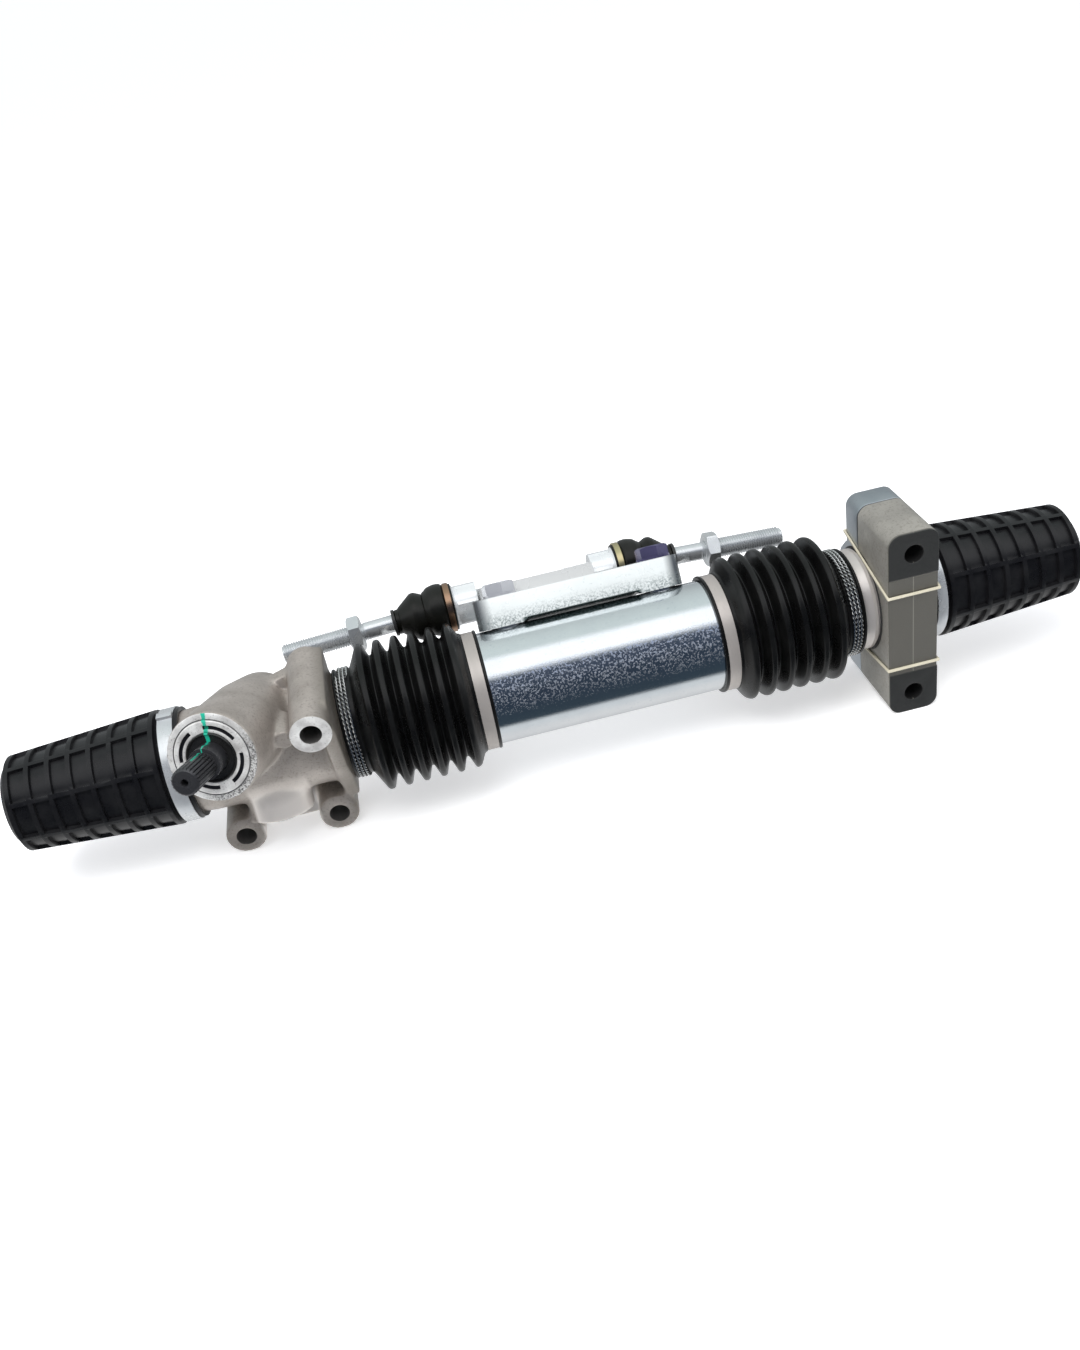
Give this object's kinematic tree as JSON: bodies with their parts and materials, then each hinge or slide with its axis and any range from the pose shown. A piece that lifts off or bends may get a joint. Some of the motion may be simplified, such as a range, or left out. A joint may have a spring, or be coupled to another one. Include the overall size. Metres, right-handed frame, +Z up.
{
  "type": "steering rack",
  "caption": "Centre take-off rack and pinion steering gear with sliding sleeve, rubber bellows, splined pinion, clamp block and ball-jointed tie rods.",
  "frame": {"origin": "middle of the footprint at the lowest point of the gear", "axes": "+X along the rack towards the clamp block end, +Y towards the side it bolts to, +Z up"},
  "size_m": [0.6258, 0.1616, 0.1196],
  "materials": {
    "cast_aluminium": "as-cast, dull",
    "drawn_tube": "drawn, satin",
    "block_casting": "as-cast with machined faces",
    "pressed_steel": "pressed, light grey",
    "bush_rubber": "matt",
    "elastic": "cream elastic",
    "bearing_bronze": "turned",
    "bearing_steel": "ground and polished",
    "machined_ring": "turned, bright",
    "seal_rubber": "smooth, slight sheen",
    "black_steel": "black oxide",
    "yoke_plastic": "moulded",
    "spring_steel": "drawn wire",
    "plug_steel": "zinc",
    "rack_steel": "ground",
    "sleeve_zinc": "bright zinc, glossy",
    "bush_polymer": "moulded",
    "guide_nylon": "moulded",
    "spacer_steel": "turned",
    "bracket_zinc": "bright zinc over a forging",
    "bolt_zinc": "bright zinc with a bluish tint",
    "cap_rubber": "smooth",
    "clamp_zinc": "zinc strip",
    "bellows_rubber": "smooth, satin",
    "band_stainless": "stainless strip",
    "wire_steel": "twisted bright wire",
    "joint_zinc": "bright zinc",
    "seat_nylon": "moulded",
    "rod_zinc": "bright zinc, cut thread",
    "nut_zinc": "bright zinc",
    "boot_rubber": "smooth, satin",
    "ring_copper": "copper-coloured strip",
    "ring_yellow": "yellow passivated strip",
    "disc_black": "moulded"
  },
  "bodies": {
    "housing": {"pinion_housing": "cast_aluminium", "housing_tube": "drawn_tube", "right_end_housing": "cast_aluminium", "clamp_block": "block_casting", "clamp_cap": "pressed_steel", "clamp_bush": "bush_rubber", "retaining_bands": "elastic", "rack_bush_left": "bearing_bronze", "rack_bush_right": "bearing_bronze", "bearing_outer_ring": "bearing_steel", "bearing_balls": "bearing_steel", "needle_bush": "bearing_bronze", "retaining_ring": "machined_ring", "pinion_seal": "seal_rubber", "yoke": "yoke_plastic", "yoke_spring": "spring_steel", "yoke_plug": "plug_steel", "end_cap_left": "cap_rubber", "end_cap_right": "cap_rubber", "cap_clamp_left": "clamp_zinc", "cap_clamp_right": "clamp_zinc", "tie_wire_left": "wire_steel", "tie_wire_right": "wire_steel", "bellows_left": "bellows_rubber", "bellows_right": "bellows_rubber"},
    "rack": {"rack_bar": "rack_steel", "slide_sleeve": "sleeve_zinc", "slot_guide": "guide_nylon", "bolt_spacers": "spacer_steel", "bolt_washers": "bolt_zinc", "bracket_bolts": "bolt_zinc", "bracket": "bracket_zinc", "bellows_band_left": "band_stainless", "bellows_band_right": "band_stainless", "sleeve_bush_left": "bush_polymer", "sleeve_bush_right": "bush_polymer", "joint_housing_left": "joint_zinc", "joint_housing_right": "joint_zinc", "boot_left": "boot_rubber", "boot_right": "boot_rubber", "boot_ring_left": "ring_copper", "boot_ring_right": "ring_yellow"},
    "pinion": {"pinion_shaft": "black_steel", "bearing_inner_ring": "bearing_steel"},
    "seat_left": {"ball_seat_left": "seat_nylon"},
    "rod_left": {"tie_rod_left": "rod_zinc", "lock_nut_left": "nut_zinc", "boot_disc_left": "disc_black"},
    "seat_right": {"ball_seat_right": "seat_nylon"},
    "rod_right": {"tie_rod_right": "rod_zinc", "lock_nut_right": "nut_zinc", "boot_disc_right": "disc_black"}
  },
  "joints": [
    {"name": "rack_slide", "type": "slide", "parent": "housing", "child": "rack", "axis": [1, 0, 0], "range_m": [-0.04, 0.04], "deforming": ["bellows_left", "bellows_right"]},
    {"name": "pinion_turn", "type": "hinge", "parent": "housing", "child": "pinion", "pos_m": [-0.1715, 0.01815, 0.07544], "axis": [-0.2504, -0.9197, 0.3024], "range_deg": [-285, 285]},
    {"name": "left_joint_sweep", "type": "hinge", "parent": "rack", "child": "seat_left", "pos_m": [-0.0539, 0.06525, 0.08793], "axis": [0, 0.8758, 0.4826], "range_deg": [-22, 22], "deforming": ["boot_left"]},
    {"name": "left_joint_lift", "type": "hinge", "parent": "seat_left", "child": "rod_left", "pos_m": [-0.0539, 0.06525, 0.08793], "axis": [0, -0.4826, 0.8758], "range_deg": [-22, 3], "deforming": ["boot_left"]},
    {"name": "right_joint_sweep", "type": "hinge", "parent": "rack", "child": "seat_right", "pos_m": [0.0583, 0.06525, 0.08793], "axis": [0, 0.8758, 0.4826], "range_deg": [-22, 22], "deforming": ["boot_right"]},
    {"name": "right_joint_lift", "type": "hinge", "parent": "seat_right", "child": "rod_right", "pos_m": [0.0583, 0.06525, 0.08793], "axis": [0, -0.4826, 0.8758], "range_deg": [-3, 22], "deforming": ["boot_right"]}
  ],
  "couplings": [
    {"joint": "pinion_turn", "follows": "rack_slide", "rad_per_m": 121.02}
  ]
}
